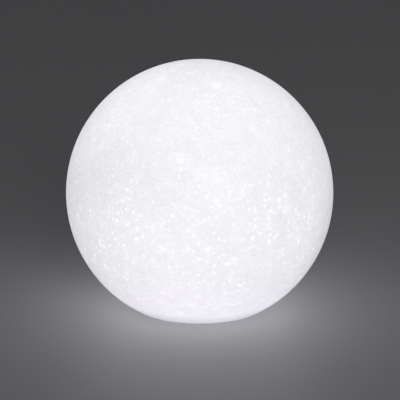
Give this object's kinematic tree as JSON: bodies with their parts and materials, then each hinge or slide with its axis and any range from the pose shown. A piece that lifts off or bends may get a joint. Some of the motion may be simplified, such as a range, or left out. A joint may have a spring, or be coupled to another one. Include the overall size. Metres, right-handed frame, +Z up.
{
  "type": "floating pool light",
  "caption": "Hollow translucent globe light with a flattened foot, a sealed rechargeable lamp unit, a sprung button and a hinged charging flap.",
  "frame": {"origin": "centre of the flat foot, on the surface that the globe stands on", "axes": "+Z up along the globe's axis, +Y towards the charging port's hinge, -Y towards the power button (front)"},
  "size_m": [0.3, 0.2998, 0.2816],
  "materials": {
    "globe_pe": "translucent rotomoulded polyethylene, lit from inside",
    "base_abs": "fine textured white ABS",
    "flap_tpu": "soft satin TPU",
    "button_plastic": "satin grey plastic",
    "silicone": "soft matt silicone",
    "brass": "turned brass",
    "stainless": "satin stainless steel",
    "nickel": "nickel plated",
    "aluminium": "satin aluminium",
    "black_plastic": "black moulded plastic",
    "plug_nylon": "natural nylon",
    "tray_abs": "dark moulded ABS",
    "circuit_board": "green solder mask",
    "white_board": "white solder mask",
    "led_package": "white package with a phosphor window",
    "cell_sleeve": "shrink sleeve",
    "ferrite": "dark ferrite",
    "clear_plastic": "clear acrylic",
    "dome_pc": "frosted polycarbonate",
    "lead_red": "PVC insulation",
    "lead_white": "PVC insulation"
  },
  "bodies": {
    "globe": {"globe_shell": "globe_pe", "threaded_inserts": "brass", "mouth_gasket": "silicone", "screw_washers": "silicone", "base_screws": "stainless", "lamp_base": "base_abs", "dc_socket": "black_plastic", "dc_contact_pin": "nickel", "dc_terminals": "nickel", "dc_socket_seal": "silicone", "dc_socket_nut": "nickel", "button_spring": "stainless", "switch_body": "black_plastic", "switch_board": "circuit_board", "switch_board_screws": "stainless", "status_led": "led_package", "status_light_pipe": "clear_plastic", "battery_tray": "tray_abs", "tray_screws": "stainless", "rear_cell": "cell_sleeve", "front_cell": "cell_sleeve", "cell_tabs": "nickel", "battery_clamp": "aluminium", "clamp_screws": "stainless", "control_board": "circuit_board", "controller_chip": "black_plastic", "board_capacitors": "aluminium", "charge_coil": "ferrite", "lead_plugs": "plug_nylon", "board_standoffs": "brass", "heat_deck": "aluminium", "led_board": "white_board", "led_board_screws": "stainless", "led_emitters": "led_package", "remote_receiver": "black_plastic", "dome_seal": "silicone", "diffuser_dome": "dome_pc", "dome_screws": "stainless", "charge_leads": "lead_red", "switch_leads": "lead_white", "battery_leads": "lead_red", "led_leads": "lead_white"},
    "power_button": {"button_cap": "button_plastic", "button_seal": "silicone", "button_clip": "stainless", "switch_plunger": "black_plastic"},
    "charging_flap": {"port_flap": "flap_tpu", "flap_seal": "silicone"}
  },
  "joints": [
    {"name": "power_button_press", "type": "slide", "parent": "globe", "child": "power_button", "axis": [0, 0, 1], "range_m": [0, 0.0012], "stiffness_N_per_m": 900, "springref_m": -0.0012, "deforming": ["button_spring"]},
    {"name": "port_flap_hinge", "type": "hinge", "parent": "globe", "child": "charging_flap", "pos_m": [0, 0.027, 0.0025], "axis": [1, 0, 0], "range_deg": [0, 120]}
  ]
}
